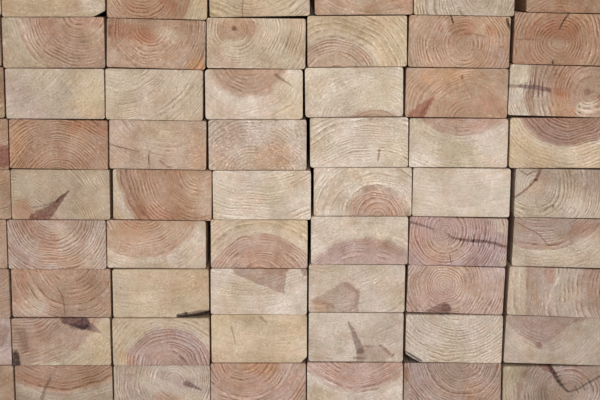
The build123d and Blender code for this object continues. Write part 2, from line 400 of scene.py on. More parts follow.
        Mark((-34, -8), (-20, -16), 8, 8, "straw", 0.5, 7),
        Mark((42, 21), (43, 17), 2.5, 1.5, "umber", 0.6, 1.5),
    )),
    (3, 5): Grain((-30, 100), 0, "pale", ring=2.9, contrast=0.35, tone=0.98, marks=(
        Mark((-43, -11), (-12, -9), 0.5, 15, "mauve_dark", 0.5, 0.8),
        Mark((-22, -12), (-8, -12), 6, 7, "pale", 0.35, 3),
        Mark((-10, 4), (1, -1), 1.6, 1.6, "mauve_dark", 0.4, 1.5),
        Mark((1, -1), (1.5, -20), 1.6, 1.6, "mauve_dark", 0.4, 1.5),
        Mark((-1, -20), (-1, -24), 3.5, 4.5, "mauve_dark", 0.45, 1),
        Mark((-26, -19), (-24, -24), 4, 5, "mauve_dark", 0.45, 1.5),
        Mark((-41, -11), (-33, -18), 0.8, 5.5, "honey", 0.35, 1.2),
        Mark((20, 12), (36, -8), 9, 9, "straw", 0.4, 8),
    )),
    (3, 6): Grain((-10, 4), ALL_HEART, "pink", heartwood="pink", ring=2.8, contrast=0.75, tone=1.1,
                  fuzz=1.2, marks=(
        Mark((-24, -10), (-6, -6), 6, 6, "lilac", 0.5, 4),
        Mark((-27, -21), (-9, -18.5), 0.3, 5.6, "plum", 0.8, 0.8),
        Mark((-8, -19), (1, -22), 4, 1.0, "wine", 0.3, 1.5),
        Mark((2, 20), (2, -5), 2.6, 1.8, "pale", 0.5, 2.5),
        Mark((14, 10), (36, -8), 9, 9, "tan", 0.5, 8),
        Mark((-42, -2), (-38, -16), 3.5, 5, "plum", 0.25, 4),
    )),
    (3, 7): Grain((95, 5), 127, "cream", heartwood="mauve_tan", ring=4.1, contrast=0.6, tone=1.0,
                  marks=(
        Mark((6, 18), (14, -20), 8, 13, "grey", 0.6, 3),
        Mark((-7, 19), (-7, 13), 5, 4, "rust", 0.4, 3),
        Mark((32, 18), (46, -10), 8, 8, "rust", 0.3, 4),
        Mark((1, 14), (-6, -4), 0.9, 0.9, "pale", 0.6, 1),
        Mark((-6, -4), (-7.5, -21), 0.9, 0.8, "pale", 0.6, 1),
    )),
    (2, 1): Grain((20, 20), 0, "pink", ring=2.9, contrast=0.5, marks=(
        Mark((38, 10), (37, -2), 5, 4, "umber", 0.55, 2.5),
    )),
    (2, 2): Grain((-40, 60), 87, "straw", heartwood="tan", ring=3.0, contrast=0.55, tone=0.96,
                  fuzz=0.9, marks=(
        Mark((8, 21), (22, 18), 5.5, 6.5, "plum", 1.0, 1.2),
        Mark((22, 17), (38, 8.5), 6, 0.4, "plum", 0.75, 1.2),
        Mark((12, 14), (26, 13), 2.5, 2, "bark_and_crack_shade", 0.55, 2),
        Mark((18, 16), (20, 15), 1.6, 1.3, "pale", 0.8, 1.2),
        Mark((-43, -10), (-43, -24), 2.5, 4.6, "bark_and_crack_shade", 0.95, 1.5),
        Mark((-38, 9), (-34, -6), 3, 2.5, "umber", 0.6, 3),
        Mark((-20, 14), (-14, 4), 5, 4, "rust", 0.3, 5),
        Mark((-16, -10), (4, -12), 7, 6, "khaki", 0.5, 5),
        Mark((-30, -20), (-4, -21), 1.2, 1.2, "straw", 0.7, 1.2),
    )),
    (2, 3): Grain((8, -28), 42, "straw", heartwood="mauve", ring=3.3, contrast=0.75, tone=1.02,
                  fuzz=0.9, marks=(
        Mark((-34, -14), (-28, -21), 5, 5, "honey", 0.35, 4),
        Mark((30, -10), (26, -4), 5, 5, "lilac", 0.3, 4),
    )),
    (2, 4): Grain((10, 130), 0, "straw", ring=3.2, contrast=0.18, tone=1.1, fuzz=0.8, marks=(
        Mark((-27, 13), (-24, -4), 0.4, 0.3, "umber", 0.6, 0.8),
        Mark((3, 20.5), (8, 16), 1.3, 0.6, "umber", 0.55, 1.0),
        Mark((-30, -14), (20, -16), 8, 8, "honey", 0.05, 7),
    )),
    (2, 5): Grain((-20, 90), 0, "pale", ring=2.9, contrast=0.3, tone=1.02, marks=(
        Mark((-6.5, 14), (2.8, -12), 0.5, 3.7, "plum", 0.7, 0.9),
        Mark((2.8, -14), (4, -25), 3.4, 3.2, "mauve_dark", 0.7, 1.2),
        Mark((6, -7.7), (22, -10), 1.1, 0.7, "mauve_dark", 0.6, 1.0),
        Mark((22, -9.5), (31, -18), 0.8, 1.0, "mauve_dark", 0.7, 1.0),
        Mark((33, -20), (34.7, -17.5), 0.8, 0.5, "umber", 0.7, 0.8),
        Mark((12, -15), (24, -19), 6, 6.5, "mauve_dark", 0.5, 1.5),
        Mark((-2, -20.5), (8, -21), 1.2, 1.2, "umber", 0.6, 1.2),
        Mark((14, 8), (24, 2), 7, 7, "blush", 0.5, 6),
    )),
    (2, 6): Grain((0, 47), 0, "pale", ring=3.1, contrast=1.0, tone=0.96, fuzz=1.2, ragged=0.9, marks=(
        Mark((-44.5, -14.5), (-30, -22.5), 0.9, 0.9, "bark_and_crack_shade", 0.85, 0.9),
    )),
    (2, 7): Grain((-10, 28), 0, "grey", ring=3.0, contrast=0.45, tone=0.97, fuzz=0.8, marks=(
        Mark((-15, 27), (-15.4, -7), 46, 0.5, "mauve_dark", 0.6, 1.2),
        Mark((-16, 14), (4, 12), 10, 8, "pink", 0.4, 8),
        Mark((-15, -4), (-13, -6), 2.2, 1.2, "wine", 0.5, 2),
        Mark((-36, 0), (-22, -14), 3, 7, "straw", 0.6, 3),
        Mark((20, 19), (26, 21), 2, 1.5, "wine", 0.4, 2),
    )),
    (1, 1): Grain((10, 50), ALL_HEART, "buff", heartwood="honey_tan", ring=2.9, contrast=0.2, tone=0.9),
    (1, 2): Grain((0, 83), 88, "khaki", heartwood="russet", ring=3.2, contrast=0.6, tone=0.96, marks=(
        Mark((-6, 24), (-12, 8), 0.6, 0.8, "mauve_dark", 0.7, 1.2),
        Mark((-12, 8), (-21, -10), 0.8, 1.6, "umber", 0.8, 1.2),
        Mark((-42, -14), (-16, -22), 7, 6, "umber", 0.33, 4),
    )),
    (1, 3): Grain((12, 6), 0, "grey", ring=3.0, contrast=0.8, tone=1.06, fuzz=1.2, marks=(
        Mark((0, 12), (22, 4), 4, 5, "mauve_dark", 0.45, 2),
        Mark((22, 4.5), (37, -1.5), 2.4, 0.7, "plum", 0.8, 1.2),
        Mark((26, 17), (42, 13), 6, 7, "cream", 0.7, 4),
        Mark((-36, 12), (-26, -8), 6, 8, "lilac", 0.5, 7),
        Mark((-4, -12), (10, -15), 6, 6, "rust", 0.3, 5),
        Mark((20, -12), (36, -14), 6, 7, "straw", 0.5, 4),
        Mark((-14, 6), (-6, 2), 7, 6, "pale", 0.6, 6),
    )),
    (1, 4): Grain((-12, 32), ALL_HEART, "buff", heartwood="rose", ring=3.4, contrast=0.75, tone=1.06,
                  marks=(
        Mark((-6, 22), (10, 20), 8, 8, "honey", 0.45, 5),
        Mark((-43, -8), (-38, -12), 4, 5, "grey", 0.5, 3),
        Mark((-40, 10), (-34, 2), 6, 6, "lilac", 0.35, 6),
    )),
    (1, 5): Grain((2, 60), 64, "pale", heartwood="rose", ring=3.3, contrast=0.6, tone=1.09, marks=(
        Mark((-34, -6), (-20, -14), 7, 8, "straw", 0.5, 5),
    )),
    (1, 6): Grain((10, 25), ALL_HEART, "pink", heartwood="mauve_tan", ring=3.0, contrast=0.9,
                  tone=0.94, fuzz=1.2, marks=(
        Mark((-45, 15), (-44, 8), 4, 3, "rust", 0.6, 3),
        Mark((20, -6), (38, -14), 9, 9, "honey", 0.3, 7),
        Mark((-44, 8), (-32, -12), 0.6, 0.6, "umber", 0.6, 0.8),
        Mark((-34, 14), (-26, 4), 6, 6, "lilac", 0.4, 6),
    )),
    (1, 7): Grain((16, -3), 50, "straw", heartwood="mauve_tan", ring=3.2, contrast=0.7, tone=0.82,
                  fuzz=1.1, marks=(
        Mark((-3, 22), (16, -3), 2.0, 0.9, "bark_and_crack_shade", 0.8, 1.2),
        Mark((-6, 22), (1, 17), 5, 1.5, "wine", 0.75, 1.5),
        Mark((0, 15), (6, 17), 0.4, 0.3, "bark_and_crack_shade", 0.7, 0.6),
        Mark((3, 11), (9, 13), 0.4, 0.3, "bark_and_crack_shade", 0.7, 0.6),
        Mark((6, 7), (12, 9), 0.4, 0.3, "bark_and_crack_shade", 0.7, 0.6),
        Mark((9, 3), (15, 5), 0.4, 0.3, "bark_and_crack_shade", 0.7, 0.6),
        Mark((17, -3), (46, 13), 0.5, 0.8, "bark_and_crack_shade", 0.6, 0.9),
        Mark((22, 3), (24, -3), 0.4, 0.3, "bark_and_crack_shade", 0.6, 0.6),
        Mark((27, 6), (30, -1), 0.4, 0.3, "bark_and_crack_shade", 0.6, 0.6),
        Mark((33, 10), (37, 2), 0.5, 0.3, "bark_and_crack_shade", 0.6, 0.6),
        Mark((-26, 6), (-22, -14), 6, 7, "pale", 0.3, 6),
        Mark((-8, -2), (-6, -14), 4, 5, "plum", 0.3, 5),
        Mark((28, -8), (40, -12), 6, 8, "pale", 0.45, 5),
    )),
}


# Colours and sizes that a user may change

def colour_property(name, red, green, blue, description):
    """A colour as it looks on a screen, from 0 to 255."""
    return FloatVectorProperty(
        name=name,
        description=description,
        subtype="COLOR_GAMMA",
        size=3,
        min=0.0,
        max=1.0,
        default=(red / 255, green / 255, blue / 255),
    )


class STACK_PG_colours(bpy.types.PropertyGroup):
    """The colours of the sapwood, the heartwood and the marks."""

    pale: colour_property("Pale sapwood", 207, 190, 171, "The lightest, plain sapwood")
    cream: colour_property("Cream sapwood", 197, 177, 154, "Warm light sapwood")
    straw: colour_property("Straw sapwood", 199, 177, 148, "Yellowish sapwood")
    grey: colour_property("Grey sapwood", 189, 171, 152, "Dull sapwood")
    khaki: colour_property("Khaki sapwood", 181, 160, 136, "Dark yellowish sapwood")
    buff: colour_property("Buff sapwood", 191, 167, 147, "Pinkish brown sapwood")
    blush: colour_property("Blush sapwood", 200, 179, 161, "Pale pinkish sapwood")
    pink: colour_property("Pink sapwood", 185, 162, 148, "Pink sapwood")
    rose: colour_property("Rose heartwood", 187, 159, 141, "Pink heartwood")
    tan: colour_property("Tan heartwood", 180, 152, 131, "Light brown heartwood")
    honey_tan: colour_property("Honey heartwood", 185, 156, 132, "Orange-brown heartwood")
    russet: colour_property("Russet heartwood", 177, 144, 120, "Red-brown heartwood")
    mauve: colour_property("Mauve heartwood", 180, 155, 143, "Purplish pink heartwood")
    lilac: colour_property("Lilac heartwood", 183, 158, 151, "Greyish purple heartwood")
    mauve_tan: colour_property("Dull heartwood", 181, 159, 144, "Purplish brown heartwood")
    mauve_dark: colour_property("Plum heartwood", 160, 130, 115, "Dark purplish heartwood")
    honey: colour_property("Honey stain", 190, 138, 92, "Resin-soaked wood")
    rust: colour_property("Rust stain", 162, 108, 78, "Reddish blush round a pith")
    wine: colour_property("Wine stain", 134, 82, 70, "Dark red streaks")
    redwood: colour_property("Red wedge", 150, 94, 78, "Clear red wood")
    plum: colour_property("Plum stain", 116, 86, 80, "Purple-grey streaks")
    # Umber and bark are also painted along cracks as the shade inside them, and the crack colour is that
    # shade alone
    umber: colour_property("Umber stain", 127, 93, 76, "Brown stain")
    bark_and_crack_shade: colour_property("Bark", 62, 42, 36, "Bark left in the wood")
    crack: colour_property("Crack", 66, 42, 32, "Shade inside a crack")


class STACK_PG_wood(bpy.types.PropertyGroup):
    """How the wood is worked, how its grain runs, and how much cooler light is painted on the lower
    layers.
    """

    arris_wear: FloatProperty(
        name="Arris wear", description="How unevenly the long edges are worn, in millimetres",
        default=0.2, min=0.0, max=1.0,
    )
    # Painted light: the lower layers are painted cooler and less red, for the warmer light that falls on
    # the upper layers
    cool_light_below: FloatProperty(
        name="Greying", description="How much more the lowest layers have lost their warmth",
        default=0.07, min=0.0, max=0.3, subtype="FACTOR",
    )
    taper: FloatProperty(
        name="Log taper",
        description="How much the rings spread for each metre of board, in millimetres",
        default=7.0, min=0.0, max=20.0,
    )
    wander: FloatProperty(
        name="Ring wander", description="How far the rings stray from true circles, in millimetres",
        default=9.0, min=0.0, max=20.0,
    )
    fuzz: FloatProperty(
        name="Sawn fuzz", description="Height of the torn fibres on the sawn ends, in millimetres",
        default=0.35, min=0.0, max=1.0,
    )
    knot_size: FloatProperty(
        name="Knot size", description="Radius of the largest knots, in millimetres",
        default=11.0, min=2.0, max=25.0,
    )


class STACK_PG_stage(bpy.types.PropertyGroup):
    """The floor, the light and the camera."""

    floor: FloatProperty(
        name="Floor", description="Side of the floor", default=40.0, unit="LENGTH",
    )
    distance: FloatProperty(
        name="Camera distance", description="From the camera to the sawn ends",
        default=1.214, unit="LENGTH",
    )
    pitch: FloatProperty(
        name="Camera pitch", description="How far the camera looks down",
        default=math.radians(9.7), unit="ROTATION",
    )
    lens: FloatProperty(
        name="Lens", description="Focal length in millimetres", default=79.5, unit="CAMERA",
    )
    aim_side: FloatProperty(
        name="Aim to the side", description="What the camera looks at, right of the stack's middle",
        default=0.0336, unit="LENGTH",
    )
    aim_height: FloatProperty(
        name="Aim height", description="What the camera looks at, above the ground",
        default=0.2015, unit="LENGTH",
    )
    key_power: FloatProperty(
        name="Key light", description="Power of the lamp in front", default=21.3, unit="POWER",
    )
    overhead_power: FloatProperty(
        name="Overhead light", description="Power of the lamp above", default=60.0, unit="POWER",
    )
    far_power: FloatProperty(
        name="Far light", description="Power of the lamp behind", default=60.0, unit="POWER",
    )
    sky: FloatProperty(
        name="Sky", description="Strength of the plain surroundings", default=0.4, min=0.0,
    )


# The boards' places, read from the frame

SAME_PLACE = 1e-6  # corners this near each other, in metres, are one
END_REACH = 1.0  # corners this near a board's far end are on it


class Board(NamedTuple):
    """One board's section and ends, in millimetres from the middle of its section."""

    layer: int
    place: int
    x: float
    z: float
    tilt: float
    width: float
    thickness: float
    front: float
    length: float

    @property
    def name(self):
        return f"board_{self.layer}_{self.place}"

    @property
    def seed(self):
        return 100 * self.layer + self.place

    def at(self, x, y, z):
        """A point given across, along and up from the middle of the facing end, in the frame."""
        turn_x = x * math.cos(self.tilt) - z * math.sin(self.tilt)
        turn_z = x * math.sin(self.tilt) + z * math.cos(self.tilt)
        return Vector(((self.x + turn_x) * MM, (self.front + y) * MM, (self.z + turn_z) * MM))


def islands(node):
    """The corners of each separate solid in a CAD node, in millimetres, in an order of their own."""
    mesh = bmesh.new()
    mesh.from_mesh(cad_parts[node].data)
    bmesh.ops.remove_doubles(mesh, verts=mesh.verts, dist=SAME_PLACE)
    unseen = set(mesh.verts)
    found = []
    while unseen:
        queue = [unseen.pop()]
        corners = []
        while queue:
            vertex = queue.pop()
            corners.append(tuple(vertex.co / MM))
            for edge in vertex.link_edges:
                other = edge.other_vert(vertex)
                if other in unseen:
                    unseen.remove(other)
                    queue.append(other)
        found.append(np.array(sorted(corners)))  # so that each run adds them up alike
    mesh.free()
    return sorted(found, key=lambda corners: corners[:, 0].mean())


def boards_of(layer):
    """The boards of one layer from left to right, measured at their far ends, which are whole."""
    boards = []
    for place, corners in enumerate(islands(f"layer_{layer}"), 1):
        front, back = corners[:, 1].min(), corners[:, 1].max()
        section = corners[corners[:, 1] > back - END_REACH][:, [0, 2]]
        middle = (section.min(0) + section.max(0)) / 2
        spread = np.cov((section - middle).T)
        tilt = 0.5 * math.atan2(2 * spread[0, 1], spread[0, 0] - spread[1, 1])
        turn = np.array(((math.cos(tilt), -math.sin(tilt)), (math.sin(tilt), math.cos(tilt))))
        width, thickness = np.ptp((section - middle) @ turn, axis=0)
        boards.append(Board(layer, place, *middle, tilt, width, thickness, front, back - front))
    return boards


# The shape of a board

PLANED_ARRIS = 2.0
WEAR_REACH = 90.0  # how far from the ends the arrises differ from the planed ones
OUTLINE_STEP = 2.5
ARC_STEPS = 4

# Where the rings of corners lie near each end, and how far apart they are between
END_STATIONS = (0.0, 0.35, 1.1, 4.0, 15.0, 60.0)
STATION_STEP = 160.0
WANE_STATION_STEP = 50.0
PAST_WANE = 50.0

# How uneven the surface is: turns of the noise for each millimetre, and depths in millimetres
TEAR_ACROSS, TEAR_ALONG = 0.35, 0.06
WEAR_ACROSS, WEAR_ALONG = 0.06, 0.008
BITE, CHIP = 0.4, 1.3
BROKEN_REACH = 0.45  # how fast the broken edge dies out along the board
SKIN = 0.04  # keeps the boards inside their plain solids
RELIEF, RELIEF_DEPTH = 0.11, 0.12
BACK_SHIFT = 50  # gives the far end a noise of its own

# The ends' inner points and the cracks in them
CAP_STEP = 4.0
CAP_JITTER = 1.0
CAP_MARGIN = 4.5
WANE_MARGIN = 1.12
CRACK_MARGIN = 1.5
CRACK_STEP = 2.5
CRACK_WAVER = 0.3
SAME_CORNER = 1e-4  # points this near each other are joined
SMOOTH_UP_TO = math.radians(38)


def quarter_turn(quarter):
    """A unit vector: right, up, left or down."""
    return Vector(((1, 0), (0, 1), (-1, 0), (0, -1))[quarter % 4])


def outline(board, arris):
    """The board's section as a closed line of points, each with how rounded the edge is there."""
    half = Vector((board.width / 2 - arris, board.thickness / 2 - arris))
    points = []
    for quarter in range(4):
        ahead, aside = quarter_turn(quarter), quarter_turn(quarter + 1)
        corner = half * (ahead + aside)
        for step in range(ARC_STEPS):
            angle = math.radians(90) * step / ARC_STEPS
            points.append((corner + arris * (math.cos(angle) * ahead + math.sin(angle) * aside), 1.0))
        first = corner + arris * aside
        last = half * (aside - ahead) + arris * aside
        count = round((board.thickness if quarter % 2 else board.width) / OUTLINE_STEP)
        points += [(first.lerp(last, step / count), 0.0) for step in range(count)]
    return points


def stations(board, wane):
    """Distances along the board at which its section is set out."""
    near = list(END_STATIONS)
    far = [board.length - y for y in reversed(END_STATIONS)]
    if wane:
        first = near[-1] + WANE_STATION_STEP / 2
        near += list(np.arange(first, wane.run + PAST_WANE, WANE_STATION_STEP))
    count = round((far[0] - near[-1]) / STATION_STEP)
    return near + [near[-1] + (far[0] - near[-1]) * i / count for i in range(1, count)] + far


def log_round(board, wane):
    """The middle of the log's round at a waney corner, and how fast its radius grows."""
    corner = Vector((wane.side * board.width / 2, -board.thickness / 2))
    under = corner - Vector((wane.side * wane.across, 0))
    beside = corner + Vector((0, wane.up))
    inward = Vector((-wane.side * wane.up, wane.across)).normalized()
    half_chord = (beside - under) / 2
    middle = (under + beside) / 2 + inward * math.sqrt(LOG_RADIUS**2 - half_chord.length_squared)
    return corner, middle, ((corner - middle).length - LOG_RADIUS) / wane.run


def on_log(point, y, board, wane):
    """Bring a point of the outline in to the log's round surface, if it lies outside it."""
    corner, middle, growth = log_round(board, wane)
    radius = LOG_RADIUS + growth * y
    if abs(point.x - corner.x) > wane.across or abs(point.y - corner.y) > wane.up:
        return point
    out = point - middle
    if out.length <= radius:
        return point
    tear = noise.noise(Vector((point.x * TEAR_ACROSS, y * TEAR_ALONG, board.seed)))
    return middle + out.normalized() * (radius - wane.torn * (0.5 + 0.5 * tear))


def arris_at(grain, from_end):
    """How far the long edges are rounded: as planed in the middle, and as worn near the ends."""
    return PLANED_ARRIS + (grain.arris - PLANED_ARRIS) * math.exp(-from_end / WEAR_REACH)


def section_at(board, wane, grain, wear, y):
    """The outline at one distance along the board, with its edges worn and its ends broken back."""
    from_end = min(y, board.length - y)
    end_seed = board.seed + BACK_SHIFT * (y > board.length / 2)
    points = []
    for point, rounded in outline(board, arris_at(grain, from_end)):
        if wane:
            point = on_log(point, y, board, wane)
        worn = noise.noise(Vector((*(point * WEAR_ACROSS), y * WEAR_ALONG + board.seed)))
        bite = noise.noise(Vector((*(point * BITE), end_seed)))
        chip = noise.noise(Vector((*(point * CHIP), end_seed)))
        broken = grain.ragged * (0.35 + 0.5 * max(0.0, bite) + 0.35 * max(0.0, chip))
        inset = SKIN + rounded * wear * (0.5 + 0.5 * worn) + broken * math.exp(-from_end / BROKEN_REACH)
        points.append(point - point.normalized() * inset)
    return points


def groove(crack, generator):
    """A crack as a thin leaf: its two lips on the surface and the line at its bottom."""
    start, end = Vector(crack.start), Vector(crack.end)
    count = max(3, round((end - start).length / CRACK_STEP))
    beside = Vector((start.y - end.y, end.x - start.x)).normalized()
    lips, bottom = [], []
    for step in range(1, count):
        share = step / count
        middle = start.lerp(end, share) + beside * generator.uniform(-CRACK_WAVER, CRACK_WAVER)
        half = crack.width / 2 * math.sqrt(math.sin(math.pi * share))
        lips.append((middle - beside * half, middle + beside * half))
        bottom.append((middle, crack.depth * math.sin(math.pi * share)))
    edge = [start] + [pair[0] for pair in lips] + [end] + [pair[1] for pair in reversed(lips)]
    return edge, bottom


def cap(rim, board, cracks, generator):
    """Triangles over a board's end: the rim, a scatter of inner points and any cracks."""
    points = [Vector(point) for point in rim]
    edges = [(i, (i + 1) % len(rim)) for i in range(len(rim))]
    depths = [0.0] * len(rim)
    avoid = []
    for crack in cracks:
        edge, bottom = groove(crack, generator)
        first = len(points)
        points += edge
        depths += [0.0] * len(edge)
        edges += [(first + i, first + (i + 1) % len(edge)) for i in range(len(edge))]
        avoid += edge
        first = len(points)
        points += [middle for middle, _ in bottom]
        depths += [depth for _, depth in bottom]
        edges += [(first + i, first + i + 1) for i in range(len(bottom) - 1)]
        avoid += [middle for middle, _ in bottom]
    inner_x, inner_z = board.width / 2 - CAP_MARGIN, board.thickness / 2 - CAP_MARGIN
    wane = WANES.get((board.layer, board.place))
    for x in np.arange(-inner_x, inner_x + 0.1, CAP_STEP):
        for z in np.arange(-inner_z, inner_z + 0.1, CAP_STEP):
            shift = [generator.uniform(-CAP_JITTER, CAP_JITTER) for _ in range(2)]
            point = Vector((x + shift[0], z + shift[1]))
            beyond = point * WANE_MARGIN
            near_wane = wane and on_log(beyond, 0.0, board, wane) != beyond
            if not near_wane and all((point - other).length > CRACK_MARGIN for other in avoid):
                points.append(point)
                depths.append(0.0)
    corners, _, faces, sources, _, _ = geometry.delaunay_2d_cdt(points, edges, [], 1, SAME_CORNER)
    found = []
    for corner, source in zip(corners, sources):
        depth = max((depths[i] for i in source), default=0.0)
        rim_index = min((i for i in source if i < len(rim)), default=None)
        found.append((corner, depth, rim_index))
    return found, faces


# The map of the finish: the long sides below, the two ends above

SIDES_TOP = 0.735
END_LOW = 0.745
END_HIGH = 0.995
MAP_EDGE = 0.004


def end_place(board, point, back):
    """Where a point of an end lies on the map."""
    u = (point.x / board.width + 0.5) * (0.5 - 2 * MAP_EDGE) + MAP_EDGE + 0.5 * back
    v = (point.y / board.thickness + 0.5) * (END_HIGH - END_LOW) + END_LOW
    return u, v


def board_mesh(board, grain, wear):
    """The board's mesh: rings of corners along it, and an end over each of the outer rings."""
    generator = random.Random(board.seed)
    wane = WANES.get((board.layer, board.place))
    places = stations(board, wane)
    rings = [section_at(board, wane, grain, wear, y) for y in places]
    size = len(rings[0])
    true_line = [point for point, _ in outline(board, PLANED_ARRIS)]
    steps = [(true_line[(i + 1) % size] - true_line[i]).length for i in range(size)]
    shares = np.concatenate(([0.0], np.cumsum(steps))) / sum(steps)
    corners = [board.at(point.x, y, point.y) for y, ring in zip(places, rings) for point in ring]
    faces, spots = [], []
    for row in range(len(places) - 1):
        for i in range(size):
            j = (i + 1) % size
            here, ahead = row * size, (row + 1) * size
            faces.append((here + i, here + j, ahead + j, ahead + i))
            u0, u1 = (MAP_EDGE + (1 - 2 * MAP_EDGE) * places[row + k] / board.length for k in (0, 1))
            v0, v1 = (MAP_EDGE + (SIDES_TOP - MAP_EDGE) * shares[i + k] for k in (0, 1))
            spots += [(u0, v0), (u0, v1), (u1, v1), (u1, v0)]
    for back in (False, True):
        cracks = () if back else grain.cracks
        found, triangles = cap(rings[-1 if back else 0], board, cracks, generator)
        index = []
        for point, depth, rim_index in found:
            if rim_index is not None:
                index.append(rim_index + (len(places) - 1) * size * back)
                continue
            relief = RELIEF_DEPTH * (1 + noise.noise(Vector((*(point * RELIEF), board.seed))))
            y = relief + depth
            index.append(len(corners))
            corners.append(board.at(point.x, board.length - y if back else y, point.y))
        for triangle in triangles:
            order = triangle if back == (facing(found, triangle) < 0) else tuple(reversed(triangle))
            faces.append(tuple(index[i] for i in order))
            spots += [end_place(board, found[i][0], back) for i in order]
    mesh = bpy.data.meshes.new(board.name)
    mesh.from_pydata(corners, [], faces)
    mesh.uv_layers.new(name="OFBake").data.foreach_set("uv", np.array(spots, np.float32).ravel())
    mesh.polygons.foreach_set("use_smooth", [True] * len(faces))
    mesh.set_sharp_from_angle(angle=SMOOTH_UP_TO)
    mesh.update()
    return mesh


def facing(found, triangle):
    """Above 0 where a triangle's corners run anticlockwise as seen from the facing end."""
    a, b, c = (found[i][0] for i in triangle)
    return (b - a).cross(c - a)


# The finish of a board

class Patch(NamedTuple):
    """A tint where a noise is high: absent at bare, and as strong as it gets at full."""

    bare: float
    full: float
    strength: float
    tint: tuple  # what it lets through of the wood's own red, green and blue


GREY = (1.02, 1.04, 1.07)
YELLOWED = Patch(0.5, 0.62, 0.6, (1.0, 0.98, 0.88))
COOLED = Patch(0.5, 0.62, 0.5, (0.985, 0.965, 1.02))
PINKED = Patch(0.46, 0.66, 0.6, (1.0, 0.91, 0.87))
STRAWED = Patch(0.5, 0.64, 0.2, (1.0, 0.97, 0.86))
GREYED = Patch(0.54, 0.66, 0.15, GREY)
GREY_BAND = Patch(0.52, 0.66, 0.25, GREY)
BLEACHED = Patch(0.52, 0.68, 0.4, (1.08, 1.1, 1.14))
# Painted shade in the pits of a sawn end
PIT_SHADE = Patch(0.4, 0.26, 0.4, (0.64, 0.6, 0.57))

# Tints that follow something else than one noise
RED_BAND = (0.95, 0.83, 0.75)
HEART_CORE = (0.98, 0.9, 0.82)
HEART_RIM = (0.85, 0.79, 0.77)
EARLY_WOOD = (1.24, 1.26, 1.29)
LATE_WOOD_IN_SAP = (0.62, 0.54, 0.48)
LATE_WOOD_IN_HEART = (0.62, 0.5, 0.43)
PLANED = (1.04, 0.98, 0.88)
# Painted shade between the torn fibres, and a painted highlight where they stand up
SHADE_BETWEEN_FIBRES = (0.8, 0.76, 0.73)
FIBRE_HIGHLIGHT = (0.15, 0.155, 0.15)  # added to the wood's own
TOP_LAYER_TINT = (0.99, 0.985, 0.965)
RED_AS_SHADE, BLUE_AS_SHADE = 0.85, 1.25  # powers of the shade: the darker, the redder

# Depths from a board's ends, in millimetres
SAWN_DEPTH = (0.5, 1.3)
MARK_DEPTH = (6, 16)

# Widths in millimetres
HEART_RAGGED = 8.0  # how far the heartwood's edge strays
HEART_SOFT = 3  # half the width over which it fades
HALO = 12  # the pale sapwood next to it
HEART_RIM_WIDTH = 8
WIDEST_CORE, CORE_SHARE = 60, 0.62  # how much of the heartwood is redder
CORE_OUT, CORE_IN = 9, 12  # how far outside and inside its edge the core fades
KNOT_RING = 1.3

# What each board's random draws start from, and how far apart its noises may lie
KNOT_SEED, WOOD_SEED = 1000, 2000
NOISE_RANGE = 90

# The knots on a face, as shares of the board's length, width and thickness and of the largest knot
KNOTS_ON_FACE = 2
FIRST_KNOT, KNOT_SPACING = 0.2, 0.42
KNOT_SCATTER = (-0.1, 0.14)
KNOT_SIZES = (0.4, 1.0)
KNOT_ASIDE, KNOT_UP = 0.36, 0.2
SIDE_KNOT = 0.75
BRANCH_LEAN = 0.2  # how far a branch runs along the board for each millimetre outwards
THINNEST_BRANCH = 0.5
NEAREST_PITH = 0.1

# How the rings run
STRAY_ACROSS, STRAY_ALONG = 28, 420
PITH_DRIFT = 0.012  # how far the pith may move aside for each millimetre along the board
KNOT_PUSH, PUSH_FADE = 1.1, 0.6  # how far a knot pushes the rings out, and how fast that dies out
UNEVEN_EACH, UNEVEN_YEARS = 0.07, 2.6  # wide years and narrow ones: turns per millimetre, and years
RIPPLE_YEARS = 0.22
LATE_SLOPE = 3.2  # a power: the higher, the narrower the late wood
LATE_END = 0.88  # the share of a year after which the late wood ends
EARLY_FULL, EARLY_END = 0.08, 0.62
YEAR_EDGE = 0.05


class Number:
    """A number that varies over a surface. Sums with it add Math nodes to the finish."""

    def __init__(self, finish, socket):
        self.finish = finish
        self.socket = socket

    def math(self, operation, *others):
        return self.finish.math(operation, self, *others)

    def __add__(self, other):
        return self.math("ADD", other)

    def __sub__(self, other):
        return self.math("SUBTRACT", other)

    def __rsub__(self, other):
        return self.finish.math("SUBTRACT", other, self)

    def __mul__(self, other):
        return self.math("MULTIPLY", other)

    def __truediv__(self, other):
        return self.math("DIVIDE", other)

    def __pow__(self, other):
        return self.math("POWER", other)

    def above_whole(self):
        """What is left above the last whole number."""
        return self.math("FRACT")

    def at_least(self, other):
        return self.math("MAXIMUM", other)

    def spread(self, low, high, at_low, at_high, shape="LINEAR"):
        """From at_low where the number is low or less to at_high where it is high or more."""
        inputs = {
            "Value": self, "From Min": low, "From Max": high, "To Min": at_low, "To Max": at_high,
        }
        return self.finish.number("ShaderNodeMapRange", {"interpolation_type": shape}, inputs)

    def between(self, low, high):
        """Rises smoothly from 0 at low to 1 at high, or falls where high is less."""
        if low > high:
            return self.spread(high, low, 1.0, 0.0, "SMOOTHSTEP")
        return self.spread(low, high, 0.0, 1.0, "SMOOTHSTEP")


